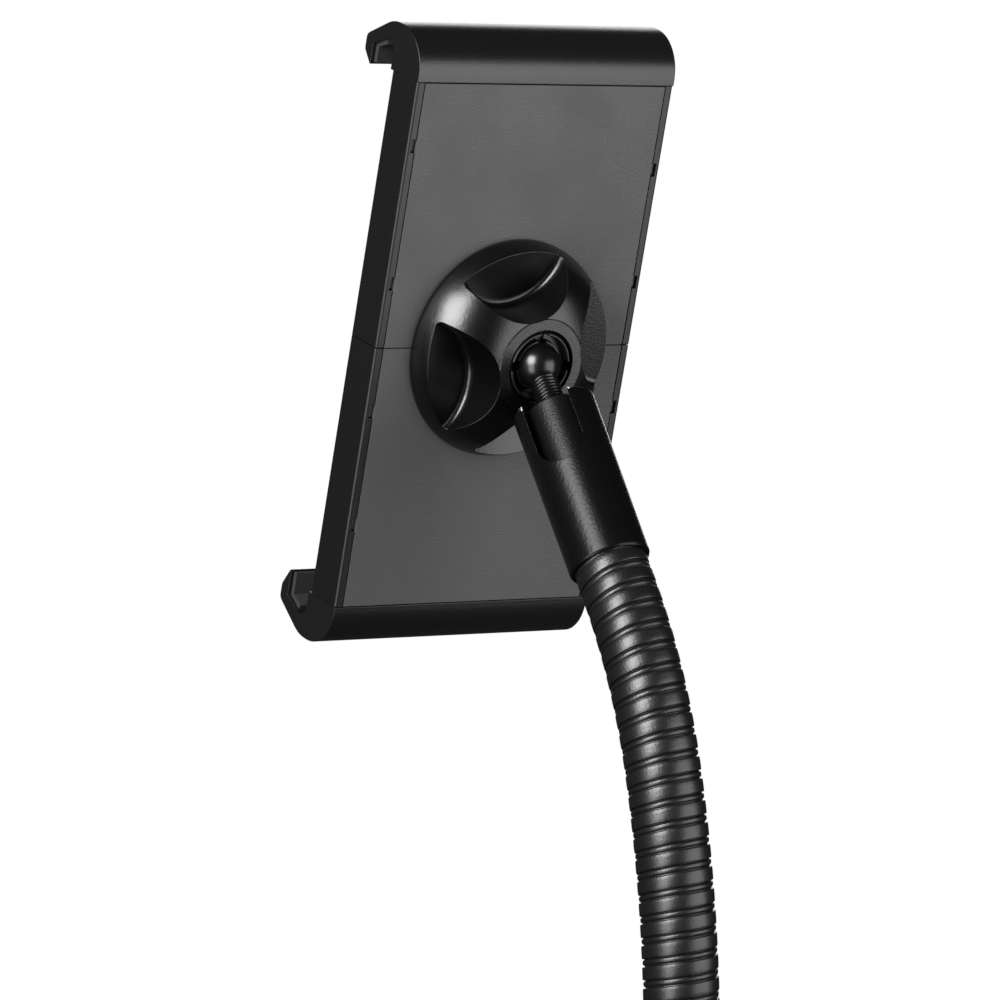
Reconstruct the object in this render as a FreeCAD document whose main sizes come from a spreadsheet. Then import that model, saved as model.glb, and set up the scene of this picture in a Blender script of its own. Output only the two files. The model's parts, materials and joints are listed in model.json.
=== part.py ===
# Tablet holder on a gooseneck arm: a two-half sliding plate with a hook at each end,
# a ball joint closed by a four-scoop clamp knob, and a banded metal gooseneck.
#
# Row frame: origin at the mouth of the threaded socket under the base ferrule, +Z up the
# arm, +X along the plate's width, +Y from the arm towards the tablet side.
# Holder frame: x across the plate, y along it towards the upper hook, z out of its rear
# face, with the origin on the rear face at the middle of the seam.
# Stud frame: origin at the ball's centre, z down the stud into the sleeve.

import FreeCAD, Part
import math
import os
import types
import Sketcher

from FreeCAD import Placement, Rotation, Vector

# Driving dimensions, in millimetres and degrees: alias, number, meaning
SIZES = [
    ("plate_width", 106, "width of the holder plate and hooks"),
    ("plate_depth", 17.4, "rear face to tablet face"),
    ("half_length", 93.7, "seam to the hook's parting line"),
    ("seam_gap", 0.4, "gap between the closed halves"),
    ("side_wall", 3, "thickness of the shell's side walls"),
    ("front_wall", 2.4, "thickness of the shell's tablet side"),
    ("end_wall", 2.5, "thickness of the wall behind the hook"),
    ("rear_round", 1, "round on the shell's rear edges"),
    ("front_round", 2.5, "round on the shell's front edges"),
    ("ledge", 1.8, "width of the ledges inside the side walls"),
    ("panel_depth", 2.2, "thickness of the back panel"),
    ("panel_groove", 0.4, "groove round the back panel"),
    ("latch_length", 4.6, "length of a latch slot in the rail"),
    ("latch_width", 1.5, "width of a latch slot"),
    ("latch_depth", 3, "depth of a latch slot"),
    ("latch_play", 0.3, "clearance of a latch tab in its slot"),
    ("latch_near", 22.9, "height of the latches nearer the seam"),
    ("latch_left", 22.3, "tray's end to the far left latch"),
    ("latch_right", 30.2, "tray's end to the far right latch"),
    ("slide_play", 0.3, "clearance between pieces that slide"),
    ("carrier_depth", 3, "thickness of the carrier plate"),
    ("carrier_gap", 13.2, "end wall to the end of the carrier plate"),
    ("carrier_drop", 5, "rear face to the carrier plate"),
    ("lower_ledge", 2, "thickness of the ledge under the carrier"),
    ("rib_depth", 3.6, "depth of the carrier's long ribs"),
    ("rib_width", 2, "thickness of the carrier's long ribs"),
    ("rib_inset", 8.0, "tray's side wall to a long rib's middle"),
    ("window_rib", 6, "carrier window to a long rib's middle"),
    ("window_end", 7, "end of the carrier plate to a window"),
    ("window_across", 22, "middle plane to a carrier window"),
    ("window_along", 41, "seam to the near edge of a carrier window"),
    ("hook_height", 16.6, "parting line to the top of the hook"),
    ("hook_curl", 14.6, "radius of the hook's rear curl"),
    ("hook_flat", 1.5, "flat at the top of the hook"),
    ("hook_brow", 14, "radius between the flat and the slope"),
    ("brow_angle", 30, "lean of the hook's slope"),
    ("hook_reach", 34.8, "rear face to the lip's outer face"),
    ("nose_round", 2.5, "radius from the slope to the lip's face"),
    ("lip_face_foot", 3.9, "height where the lip's face ends"),
    ("chin_angle", 22, "turn of the chin's round"),
    ("chin_round", 4, "radius of the chin"),
    ("parting_chamfer", 0.25, "chamfer that shows the parting line"),
    ("lip_tip", 30.6, "rear face to the lip's tip"),
    ("lip_inside", 30.3, "rear face to the lip's inner face"),
    ("upper_lip", 1.6, "reach of the upper lip past the parting line"),
    ("lower_lip", 3.6, "reach of the lower lip past the parting line"),
    ("throat_height", 8.8, "height of the hook's throat"),
    ("throat_depth", 24.2, "rear face to the throat's top corner"),
    ("throat_side", 5.6, "height of the throat at the lip"),
    ("throat_round", 4.6, "radius inside the throat"),
    ("throat_back", 6.4, "height where the throat meets the plate side"),
    ("pad_depth", 1.6, "thickness of the rubber in the hook"),
    ("pad_inset", 1.5, "side of the hook to the end of its rubber"),
    ("face_pad_depth", 1.2, "thickness of the rubber on the tablet face"),
    ("face_pad_side", 11, "tray's side to the face rubber"),
    ("face_pad_near", 10, "seam to the face rubber"),
    ("face_pad_end", 7.7, "tray's end to the face rubber"),
    ("face_pad_round", 4, "radius of the face rubber's corners"),
    ("tooth_module", 1, "module of the rack and pinion"),
    ("pinion_teeth", 16, "teeth on the pinion"),
    ("rack_teeth", 17, "teeth on a rack"),
    ("tooth_play", 0.18, "taken off each tooth flank"),
    ("gear_drop", 8.4, "rear face to the pinion"),
    ("gear_depth", 5, "thickness of the pinion"),
    ("rack_width", 5, "width of a rack's bar"),
    ("rack_foot", 16, "length of the rack's foot"),
    ("rack_screw_back", 2.5, "back of a rack's bar to its screws' middle"),
    ("rack_foot_edge", 4, "rack screws' middle to the foot's side"),
    ("rack_back", 35.7, "tray's end to the rack's foot"),
    ("pin_radius", 2, "radius of the pinion's pin"),
    ("pin_play", 0.06, "running clearance round a pin or stud"),
    ("pin_head", 3.4, "radius of the pin's head"),
    ("pin_head_depth", 0.8, "thickness of the pin's head"),
    ("spring_radius", 2.6, "outer radius of a tension spring"),
    ("spring_wire", 0.4, "half the spring wire's thickness"),
    ("spring_inset", 12, "long rib's middle to a spring"),
    ("spring_near", 25, "seam to the shell's spring post"),
    ("spring_far", 36, "seam to the carrier's spring post"),
    ("post_radius", 1.5, "radius of a spring post"),
    ("post_height", 5.4, "height of a spring post"),
    ("screw_radius", 1.5, "radius of a screw's shank"),
    ("screw_head", 2.75, "radius of a screw's head"),
    ("screw_head_depth", 1.8, "thickness of a screw's head"),
    ("screw_length", 9.5, "length of a hook screw's shank"),
    ("screw_play", 0.1, "clearance round a screw"),
    ("hook_screw_inset", 16.0, "tray's side wall to a hook screw"),
    ("hook_screw_drop", 8.7, "rear face to a hook screw"),
    ("boss_radius", 16, "radius of the threaded socket boss"),
    ("boss_height", 15.8, "rear face to the top of the boss"),
    ("flange_radius", 21.4, "radius of the boss's flange"),
    ("flange_depth", 2.4, "thickness of the boss's flange"),
    ("boss_play", 1, "clearance of the back panels round the boss"),
    ("boss_screw_ring", 18.4, "radius of the ring of boss screws"),
    ("ball_radius", 8.0, "radius of the ball"),
    ("ball_height", 21.2, "rear face to the ball's centre"),
    ("ball_play", 0.15, "clearance between the ball and its seat"),
    ("stud_radius", 4.9, "radius of the stud's thread"),
    ("stud_length", 44, "ball's centre to the stud's end"),
    ("collet_radius", 14.6, "radius of the collet's base"),
    ("collet_base", 1.4, "thickness of the collet's base"),
    ("collet_height", 23, "rear face to the collet's top"),
    ("collet_top", 11.9, "radius of the collet at its top"),
    ("collet_chamfer", 0.3, "chamfer round the collet's top"),
    ("collet_inside", 11.2, "radius inside the collet's outer ring"),
    ("collet_groove", 3.6, "depth of the groove inside the ring"),
    ("lip_rise", 0.4, "ball's centre to the collet's gripping lip"),
    ("lip_width", 0.5, "thickness of the gripping lip"),
    ("collet_slot", 3.4, "width of a slot in the collet"),
    ("knob_radius", 38.8, "radius of the knob's rim"),
    ("knob_height", 23.2, "rear face to the knob's top"),
    ("knob_gap", 0.4, "gap under the knob"),
    ("rim_height", 1.8, "rear face to the top of the rim's wall"),
    ("dome_round", 26.4, "radius of the dome's arc"),
    ("face_radius", 17, "radius of the knob's flat face"),
    ("face_step", 0.35, "step round the knob's flat face"),
    ("mouth_radius", 12.9, "radius of the knob's mouth"),
    ("mouth_depth", 1.4, "depth of the knob's mouth"),
    ("knob_hub", 19.2, "radius of the knob's inner hub"),
    ("knob_wall", 2.5, "thickness of the knob's rim"),
    ("knob_hollow", 2.8, "depth of the hollow under the knob"),
    ("scoop_radius", 22.2, "radius of a finger scoop at its floor"),
    ("scoop_draft", 2.5, "loss of a scoop's radius to the knob's top"),
    ("scoop_crease", 17.9, "knob's axis to the middle of a scoop's crease"),
    ("scoop_floor", 4.9, "rear face to a scoop's crease"),
    ("scoop_fillet", 2, "fillet along a scoop's crease"),
    ("scoop_tilt", 11, "rise of a scoop's floor towards the rim"),
    ("scoop_angle", 14, "turn of the first scoop from the plate's width"),
    ("scoop_count", 4, "finger scoops round the knob"),
    ("plate_tilt", 16.17, "lean of the plate from vertical"),
    ("ferrule_length", 34, "length of the base ferrule"),
    ("socket_depth", 18, "depth of the ferrule's threaded socket"),
    ("socket_radius", 5, "radius of the ferrule's threaded socket"),
    ("hose_grip", 12, "depth of the hose in the ferrule"),
    ("hose_exit", 3, "ferrule's rim down to the start of the bend"),
    ("sleeve_radius", 14.5, "radius of the sleeve and ferrule"),
    ("sleeve_foot", 14.2, "radius of the sleeve's lower end"),
    ("sleeve_start", 17, "ball's centre to the sleeve's rim"),
    ("sleeve_end", 79.5, "ball's centre to the sleeve's lower end"),
    ("sleeve_chamfer", 0.8, "chamfer on the sleeve and ferrule"),
    ("core_radius", 9.6, "radius of the core in the sleeve"),
    ("core_start", 17, "ball's centre to the core's top"),
    ("core_end", 63, "ball's centre to the core's shoulder"),
    ("spigot_length", 14, "length of the core's spigot in the hose"),
    ("hose_start", 65, "ball's centre to the end of the hose"),
    ("bend_start", 88.4, "ball's centre to the start of the bend"),
    ("notch_width", 17, "width of the sleeve's notch"),
    ("notch_length", 26, "length of the sleeve's notch"),
    ("notch_angle", 138, "turn of the notch about the stud"),
    ("band_radius", 12.75, "radius of the gooseneck's wide bands"),
    ("valley_radius", 12.3, "radius of the gooseneck's narrow bands"),
    ("hose_bore", 8.2, "radius inside the gooseneck"),
    ("hose_play", 0.3, "clearance round the hose in its sockets"),
    ("band_pitch", 7.2, "length of one turn of the gooseneck"),
    ("band_share", 0.68, "wide band's share of a turn"),
    ("lower_bend", 390, "radius of the gooseneck's lower bend"),
    ("lower_angle", 13.6, "angle of the lower bend"),
    ("upper_bend", 193, "radius of the gooseneck's upper bend"),
    ("upper_angle", 19.35, "angle of the upper bend"),
]

BIG = 60  # reach of a cutting tool past what it cuts
PRESSURE_TANGENT = 0.364  # tangent of the 20 degree pressure angle

doc = FreeCAD.newDocument("tablet_holder")


class Size:
    """A dimension: its number now, and the expression that ties an object to the sheet."""

    def __init__(self, value, text):
        self.value = value
        self.text = text

    def __add__(self, other):
        other = sized(other)
        return Size(self.value + other.value, f"({self.text} + {other.text})")

    def __radd__(self, other):
        return sized(other) + self

    def __sub__(self, other):
        other = sized(other)
        return Size(self.value - other.value, f"({self.text} - {other.text})")

    def __rsub__(self, other):
        return sized(other) - self

    def __mul__(self, other):
        other = sized(other)
        return Size(self.value * other.value, f"({self.text} * {other.text})")

    def __rmul__(self, other):
        return sized(other) * self

    def __truediv__(self, other):
        other = sized(other)
        return Size(self.value / other.value, f"({self.text} / {other.text})")

    def __rtruediv__(self, other):
        return sized(other) / self

    def __neg__(self):
        return Size(-self.value, f"(0 - {self.text})")


def sized(item):
    """A plain number as a Size."""
    if isinstance(item, Size):
        return item
    return Size(float(item), repr(float(item)))


def root(item):
    return Size(math.sqrt(item.value), f"sqrt({item.text})")


def sine(angle):
    return Size(math.sin(math.radians(angle.value)), f"sin({angle.text})")


def cosine(angle):
    return Size(math.cos(math.radians(angle.value)), f"cos({angle.text})")


def make_sheet():
    """Write the driving dimensions to the sheet and return them by name."""
    sheet = doc.addObject("Spreadsheet::Sheet", "Sheet")
    sizes = types.SimpleNamespace()
    for row, (alias, number, meaning) in enumerate(SIZES, start=1):
        sheet.set(f"A{row}", alias)
        sheet.set(f"B{row}", str(number))
        sheet.set(f"C{row}", meaning)
        sheet.setAlias(f"B{row}", alias)
        setattr(sizes, alias, Size(number, f"Sheet.{alias}"))
    doc.recompute()
    return sizes


s = make_sheet()


def bind(item, name, size):
    item.setExpression(name, sized(size).text)


def place(x, y, z, axis, angle):
    """Text of a placement: a point, then a turn about the axis."""
    point = "; ".join(sized(item).text for item in (x, y, z))
    line = "; ".join(str(item) for item in axis)
    return f"placement(vector({point}); rotation(vector({line}); {sized(angle).text}))"


def frame(name, text):
    """A named frame that the pieces take their place from."""
    item = doc.addObject("App::Placement", name)
    item.setExpression("Placement", text)
    return f"{name}.Placement"


def named(item, frame_text):
    """Give a finished piece its label and its place."""
    item.Label = item.Name
    if frame_text:
        item.setExpression("Placement", frame_text)
    return item


def box(name, low, high):
    """A block between two corners."""
    item = doc.addObject("Part::Box", name)
    for side, base, near, far in zip(("Length", "Width", "Height"), "xyz", low, high):
        bind(item, side, sized(far) - near)
        bind(item, f"Placement.Base.{base}", near)
    return item


AXIS_TURNS = {
    "x": Rotation(Vector(0, 1, 0), 90),
    "y": Rotation(Vector(1, 0, 0), -90),
    "z": Rotation(),
}


def rod(name, start, axis, radius, length):
    """A cylinder from a start point along +x, +y or +z."""
    item = doc.addObject("Part::Cylinder", name)
    item.Placement = Placement(Vector(), AXIS_TURNS[axis])
    bind(item, "Radius", radius)
    bind(item, "Height", length)
    for base, place_along in zip("xyz", start):
        bind(item, f"Placement.Base.{base}", place_along)
    return item


def fuse(name, parts, frame_text=None):
    item = doc.addObject("Part::MultiFuse", name)
    item.Shapes = parts
    return named(item, frame_text)


def cut(name, base, tools, frame_text=None):
    item = doc.addObject("Part::Cut", name)
    item.Base = base
    item.Tool = tools[0] if len(tools) == 1 else fuse(f"{name}_cuts", tools)
    return named(item, frame_text)


def group(name, parts, frame_text):
    """Separate solids that share one node."""
    item = doc.addObject("Part::Compound", name)
    item.Links = parts
    return named(item, frame_text)


def new_body(name, frame_text=None):
    return named(doc.addObject("PartDesign::Body", name), frame_text)


def origin_item(body, role):
    return next(item for item in body.Origin.OriginFeatures if item.Role == role)


def sketch_on(body, plane, offset=0):
    """A sketch on one of the body's own planes, moved along the plane's normal."""
    sketch = body.newObject("Sketcher::SketchObject", f"{body.Name}_sketch")
    sketch.AttachmentSupport = (origin_item(body, plane), [""])
    sketch.MapMode = "FlatFace"
    bind(sketch, "AttachmentOffset.Base.z", offset)
    return sketch


def hold(sketch, kind, *args):
    """Add a constraint whose last argument is a Size, and tie it to the sheet."""
    size = sized(args[-1])
    index = sketch.addConstraint(Sketcher.Constraint(kind, *args[:-1], size.value))
    sketch.renameConstraint(index, f"size{index}")
    sketch.setExpression(f"Constraints.size{index}", size.text)


def arc_between(start, end, radius, turn):
    """The short arc from start to end, turning left for turn 1 and right for turn -1."""
    chord = end - start
    reach = math.sqrt(max(radius**2 - (chord.Length / 2) ** 2, 0))
    left = Vector(-chord.y, chord.x, 0).normalize()
    centre = (start + end) * 0.5 + left * reach * turn
    angles = [math.atan2(point.y - centre.y, point.x - centre.x) for point in (start, end)]
    if turn < 0:
        angles.reverse()
    return Part.ArcOfCircle(Part.Circle(centre, Vector(0, 0, 1), radius), *angles)


def outline(sketch, corners):
    """Draw a closed outline through the corners.

    A corner is (across, up), or (across, up, radius, turn) where an arc leads on."""
    points = [Vector(sized(corner[0]).value, sized(corner[1]).value, 0) for corner in corners]
    first = sketch.GeometryCount
    ends = []
    for index, corner in enumerate(corners):
        start, end = points[index], points[(index + 1) % len(points)]
        if len(corner) == 2:
            sketch.addGeometry(Part.LineSegment(start, end))
            ends.append((1, 2))
        else:
            sketch.addGeometry(arc_between(start, end, sized(corner[2]).value, corner[3]))
            ends.append((1, 2) if corner[3] > 0 else (2, 1))
    for index, corner in enumerate(corners):
        before = (index - 1) % len(corners)
        join = (first + before, ends[before][1], first + index, ends[index][0])
        sketch.addConstraint(Sketcher.Constraint("Coincident", *join))
        hold(sketch, "DistanceX", -1, 1, first + index, ends[index][0], corner[0])
        hold(sketch, "DistanceY", -1, 1, first + index, ends[index][0], corner[1])
        if len(corner) > 2:
            hold(sketch, "Radius", first + index, corner[2])


def circle(sketch, radius):
    """Draw a circle round the sketch's origin."""
    index = sketch.addGeometry(Part.Circle(Vector(), Vector(0, 0, 1), sized(radius).value))
    sketch.addConstraint(Sketcher.Constraint("Coincident", index, 3, -1, 1))
    hold(sketch, "Radius", index, radius)


def pad(body, sketch, length, back=False):
    feature = body.newObject("PartDesign::Pad", f"{body.Name}_pad")
    feature.Profile = sketch
    feature.Reversed = back
    bind(feature, "Length", length)
    return feature


def turned(name, corners, frame_text=None):
    """A turned piece from half of its section, drawn as (radius, height)."""
    body = new_body(name, frame_text)
    sketch = sketch_on(body, "XZ_Plane")
    outline(sketch, corners)
    feature = body.newObject("PartDesign::Revolution", f"{name}_turning")
    feature.Profile = sketch
    feature.ReferenceAxis = (sketch, ["V_Axis"])
    feature.Angle = 360
    return body


def round_pattern(body, feature, axis, angle, count):
    pattern = body.newObject("PartDesign::PolarPattern", f"{body.Name}_pattern")
    pattern.Originals = [feature]
    pattern.Axis = axis
    bind(pattern, "Angle", angle)
    pattern.Occurrences = count
    body.Tip = pattern
    return pattern


# Places along the arm, worked out from the gooseneck's two bends
arm_turn = s.lower_angle + s.upper_angle
bend_foot = s.ferrule_length - s.hose_exit
joint_y = s.lower_bend * (1 - cosine(s.lower_angle))
joint_z = bend_foot + s.lower_bend * sine(s.lower_angle)
bend_y = joint_y + s.upper_bend * (cosine(s.lower_angle) - cosine(arm_turn))
bend_z = joint_z + s.upper_bend * (sine(arm_turn) - sine(s.lower_angle))
ball_y = bend_y + s.bend_start * sine(arm_turn)
ball_z = bend_z + s.bend_start * cosine(arm_turn)
plate_y = ball_y + s.ball_height * cosine(s.plate_tilt)
plate_z = ball_z + s.ball_height * sine(s.plate_tilt)

HOLDER = frame("holder_frame", place(0, plate_y, plate_z, (1, 0, 0), s.plate_tilt + 90))
HALF_TURN = "placement(vector(0; 0; 0); rotation(vector(0; 0; 1); 180))"
TURNED = frame("turned_frame", f"{HOLDER} * {HALF_TURN}")
STUD = frame("stud_frame", place(0, ball_y, ball_z, (1, 0, 0), 180 - arm_turn))
LOW_SPAN = frame("low_span_frame", place(0, 0, bend_foot, (1, 0, 0), 0))
HIGH_SPAN = frame("high_span_frame", place(0, joint_y, joint_z, (1, 0, 0), -s.lower_angle))

# Levels and widths inside the plate that more than one piece uses
half_width = s.plate_width / 2
inner_width = half_width - s.side_wall
ledge_width = inner_width - s.ledge
carrier_rear = -s.carrier_drop
carrier_front = carrier_rear - s.carrier_depth
floor_level = s.front_wall - s.plate_depth
seam_edge = s.seam_gap / 2
wall_start = s.half_length - s.end_wall
rib_place = inner_width - s.rib_inset
spring_place = rib_place - s.spring_inset
hook_screw_place = inner_width - s.hook_screw_inset
rack_run = s.half_length - s.rack_back
pitch_radius = s.tooth_module * s.pinion_teeth / 2
gear_rear = -s.gear_drop
gear_front = gear_rear - s.gear_depth
rack_rear = gear_rear - 0.2
rack_front = gear_front + 0.2
screw_hole = s.screw_radius + s.screw_play
head_hole = s.screw_head + s.screw_play
rack_screw_x = pitch_radius + s.rack_width + s.rack_screw_back


def latches():
    """Side and height of the four latches of one half."""
    left = s.half_length - s.latch_left
    right = s.half_length - s.latch_right
    return [(-1, left), (-1, s.latch_near), (1, right), (1, s.latch_near)]


def rack_screws():
    """Heights of the two screws through a rack's foot."""
    return [rack_run + s.rack_foot * share for share in (0.28, 0.75)]


def shell(side, frame_text):
    """The tray of one half: a ledged channel with an end wall, latch slots and a spring post."""
    body = new_body(f"{side}_tray")
    sketch = sketch_on(body, "XZ_Plane", -seam_edge)
    right = [
        (inner_width, floor_level),
        (inner_width, carrier_front - s.slide_play - s.lower_ledge),
        (ledge_width, carrier_front - s.slide_play - s.lower_ledge),
        (ledge_width, carrier_front - s.slide_play),
        (inner_width, carrier_front - s.slide_play),
        (inner_width, carrier_rear + s.slide_play),
        (ledge_width, carrier_rear + s.slide_play),
        (ledge_width, -s.panel_depth),
        (inner_width, -s.panel_depth),
        (inner_width, 0),
    ]
    left = [(-across, up) for across, up in reversed(right)]
    outer = [
        (half_width - s.rear_round, 0, s.rear_round, -1),
        (half_width, -s.rear_round),
        (half_width, s.front_round - s.plate_depth, s.front_round, -1),
        (half_width - s.front_round, -s.plate_depth),
        (s.front_round - half_width, -s.plate_depth, s.front_round, -1),
        (-half_width, s.front_round - s.plate_depth),
        (-half_width, -s.rear_round, s.rear_round, -1),
        (s.rear_round - half_width, 0),
    ]
    outline(sketch, left + right + outer)
    block = pad(body, sketch, s.half_length - seam_edge, back=True)
    doc.recompute()
    chamfer = body.newObject("PartDesign::Chamfer", f"{side}_tray_chamfer")
    chamfer.Base = (block, parting_edges(block.Shape))
    bind(chamfer, "Size", s.parting_chamfer)
    wall = box(
        f"{side}_wall",
        (-inner_width, wall_start, floor_level),
        (inner_width, s.half_length, -s.panel_depth),
    )
    post = rod(
        f"{side}_post",
        (spring_place, s.spring_near, floor_level),
        "z",
        s.post_radius,
        s.post_height,
    )
    tools = []
    for index, (hand, height) in enumerate(latches()):
        edge = inner_width if hand > 0 else -inner_width - s.latch_width
        low = (edge, height - s.latch_length / 2, -s.latch_depth)
        high = (edge + s.latch_width, height + s.latch_length / 2, 1)
        tools.append(box(f"{side}_slot{index}", low, high))
    for index, hand in enumerate((-1, 1)):
        start = (hand * hook_screw_place, wall_start - 1, -s.hook_screw_drop)
        tools.append(rod(f"{side}_hole{index}", start, "y", screw_hole, s.end_wall + 2))
    for index, height in enumerate(rack_screws()):
        start = (rack_screw_x, height, floor_level - s.front_wall / 2)
        tools.append(rod(f"{side}_pilot{index}", start, "z", screw_hole, s.front_wall))
    return cut(f"{side}_shell", fuse(f"{side}_body", [body, wall, post]), tools, frame_text)


def parting_edges(shape):
    """Names of the outer edges at the tray's far end, where it meets the hook."""
    names = []
    for index, edge in enumerate(shape.Edges, start=1):
        at_end = edge.BoundBox.YMin > s.half_length.value - 1e-3
        middle = edge.valueAt((edge.FirstParameter + edge.LastParameter) / 2)
        outside = abs(middle.x) > inner_width.value + 0.1 or middle.z < floor_level.value - 0.1
        if at_end and outside:
            names.append(f"Edge{index}")
    return names


def back_panel(side, frame_text):
    """The rear cover: a plate with latch tabs and half of the round cut-out for the boss."""
    edge = inner_width - s.panel_groove
    low = (-edge, seam_edge, -s.panel_depth)
    plate = box(f"{side}_plate", low, (edge, s.half_length - s.panel_groove, 0))
    tabs = []
    reach = s.latch_width - s.latch_play + s.panel_groove
    for index, (hand, height) in enumerate(latches()):
        near = edge if hand > 0 else -edge - reach
        half = s.latch_length / 2 - s.latch_play
        low = (near, height - half, -s.panel_depth)
        tabs.append(box(f"{side}_tab{index}", low, (near + reach, height + half, -1.2)))
    start = (0, 0, -s.panel_depth - 1)
    around = s.boss_radius + s.boss_play
    hole = rod(f"{side}_cutout", start, "z", around, s.panel_depth + 2)
    return cut(f"{side}_back_panel", fuse(f"{side}_cover", [plate] + tabs), [hole], frame_text)


def lip_reach(side):
    return s.upper_lip if side == "upper" else s.lower_lip


def hook(side, frame_text):
    """The curled end cap, a moulding of one section across the plate."""
    body = new_body(f"{side}_hook_block")
    sketch = sketch_on(body, "YZ_Plane", -half_width)
    base = s.half_length
    top = base + s.hook_height
    lip = base - lip_reach(side)
    slope_top = top - s.hook_brow * (1 - cosine(s.brow_angle))
    slope_start = s.hook_curl + s.hook_flat + s.hook_brow * sine(s.brow_angle)
    slope_end = s.hook_reach - s.nose_round * (1 - sine(s.brow_angle))
    slope_run = (slope_end - slope_start) * sine(s.brow_angle) / cosine(s.brow_angle)
    slope_foot = slope_top - slope_run
    chin_end = s.hook_reach - s.chin_round * (1 - cosine(s.chin_angle))
    corners = [
        (base, 0),
        (top - s.hook_curl, 0, s.hook_curl, 1),
        (top, -s.hook_curl),
        (top, -s.hook_curl - s.hook_flat, s.hook_brow, 1),
        (slope_top, -slope_start),
        (slope_foot, -slope_end, s.nose_round, 1),
        (slope_foot - s.nose_round * cosine(s.brow_angle), -s.hook_reach),
        (base + s.lip_face_foot, -s.hook_reach, s.chin_round, 1),
        (base + s.lip_face_foot - s.chin_round * sine(s.chin_angle), -chin_end),
        (lip + 0.5, -s.lip_tip - 0.5),
        (lip, -s.lip_tip),
        (lip, -s.lip_inside),
        (base + s.throat_side, -s.lip_inside),
        (base + s.throat_height, -s.throat_depth, s.throat_round, -1),
        (base + s.throat_back, -s.plate_depth),
        (base, -s.plate_depth),
    ]
    corners = [(corner[0], corner[1], *turn_right(corner)) for corner in corners]
    outline(sketch, corners)
    pad(body, sketch, s.plate_width)
    tools = []
    for index, hand in enumerate((-1, 1)):
        start = (hand * hook_screw_place, base - 1, -s.hook_screw_drop)
        tools.append(rod(f"{side}_bore{index}", start, "y", screw_hole, s.screw_length + 1))
    return cut(f"{side}_hook", body, tools, frame_text)


def turn_right(corner):
    """The hook's section runs clockwise, except in its throat."""
    if len(corner) == 2:
        return ()
    return (corner[2], -corner[3])


def hook_pad(side, frame_text):
    """The rubber strip that lines the lip and the slope of the hook's throat."""
    body = new_body(f"{side}_hook_pad", frame_text)
    sketch = sketch_on(body, "YZ_Plane", s.pad_inset - half_width)
    base = s.half_length
    low = base - lip_reach(side) + 0.8
    inside = s.lip_inside - s.pad_depth
    outline(
        sketch,
        [
            (low, -s.lip_inside),
            (base + s.throat_side, -s.lip_inside),
            (base + s.throat_height, -s.throat_depth),
            (base + s.throat_height - s.pad_depth, -s.throat_depth + 0.7),
            (base + s.throat_side - 0.45 * s.pad_depth, -inside),
            (low, -inside),
        ],
    )
    pad(body, sketch, s.plate_width - 2 * s.pad_inset)
    return body


def face_pad(side, frame_text):
    """The rubber sheet on the tablet side of one half."""
    body = new_body(f"{side}_face_pad", frame_text)
    sketch = sketch_on(body, "XY_Plane", -s.plate_depth - s.face_pad_depth)
    half = half_width - s.face_pad_side
    curve = s.face_pad_round
    near = s.face_pad_near
    far = s.half_length - s.face_pad_end
    outline(
        sketch,
        [
            (curve - half, near),
            (half - curve, near, curve, 1),
            (half, near + curve),
            (half, far - curve, curve, 1),
            (half - curve, far),
            (curve - half, far, curve, 1),
            (-half, far - curve),
            (-half, near + curve, curve, 1),
        ],
    )
    pad(body, sketch, s.face_pad_depth)
    return body


def tooth(body, plane_offset, root_line, direction, depth):
    """One straight-sided tooth that points along -x or +x from its root line."""
    half = s.tooth_module * math.pi / 4 - s.tooth_play
    tip_half = half - s.tooth_module * PRESSURE_TANGENT
    root_half = half + 1.25 * s.tooth_module * PRESSURE_TANGENT
    tip = root_line + direction * 2.25 * s.tooth_module
    foot = root_line - direction * 0.3
    sketch = sketch_on(body, "XY_Plane", plane_offset)
    outline(
        sketch,
        [(foot, -root_half), (tip, -tip_half), (tip, tip_half), (foot, root_half)],
    )
    return pad(body, sketch, depth)


def rack(side, frame_text):
    """The toothed bar of one half, with a foot screwed to the shell's front wall."""
    body = new_body(f"{side}_rack_bar")
    depth = rack_rear - rack_front
    root_line = pitch_radius + 1.25 * s.tooth_module
    pitch = s.tooth_module * math.pi
    first = (s.rack_teeth - 2) * pitch
    sketch = sketch_on(body, "XY_Plane", rack_front)
    outer = pitch_radius + s.rack_width + 1
    start = -first - pitch
    outline(
        sketch,
        [(root_line, start), (outer, start), (outer, rack_run + 1), (root_line, rack_run + 1)],
    )
    pad(body, sketch, depth)
    teeth = tooth(body, rack_front, root_line, -1, depth)
    for place_along, name in ((-1, "down"), (1, "up")):
        count = s.rack_teeth.value - 1 if place_along < 0 else 2
        pattern = body.newObject("PartDesign::LinearPattern", f"{side}_teeth_{name}")
        pattern.Originals = [teeth]
        pattern.Direction = (origin_item(body, "Y_Axis"), [""])
        pattern.Reversed = place_along < 0
        bind(pattern, "Length", (count - 1) * pitch)
        pattern.Occurrences = int(count)
        body.Tip = pattern
    foot = box(
        f"{side}_rack_foot",
        (root_line, rack_run, floor_level),
        (rack_screw_x + s.rack_foot_edge, rack_run + s.rack_foot, rack_rear),
    )
    tools = []
    for index, height in enumerate(rack_screws()):
        start = (rack_screw_x, height, floor_level - 1)
        tools.append(rod(f"{side}_shank_hole{index}", start, "z", screw_hole, BIG))
        start = (rack_screw_x, height, rack_rear - s.screw_head_depth - 0.2)
        tools.append(rod(f"{side}_head_hole{index}", start, "z", head_hole, BIG))
    return cut(f"{side}_rack", fuse(f"{side}_rack_blank", [body, foot]), tools, frame_text)


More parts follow.
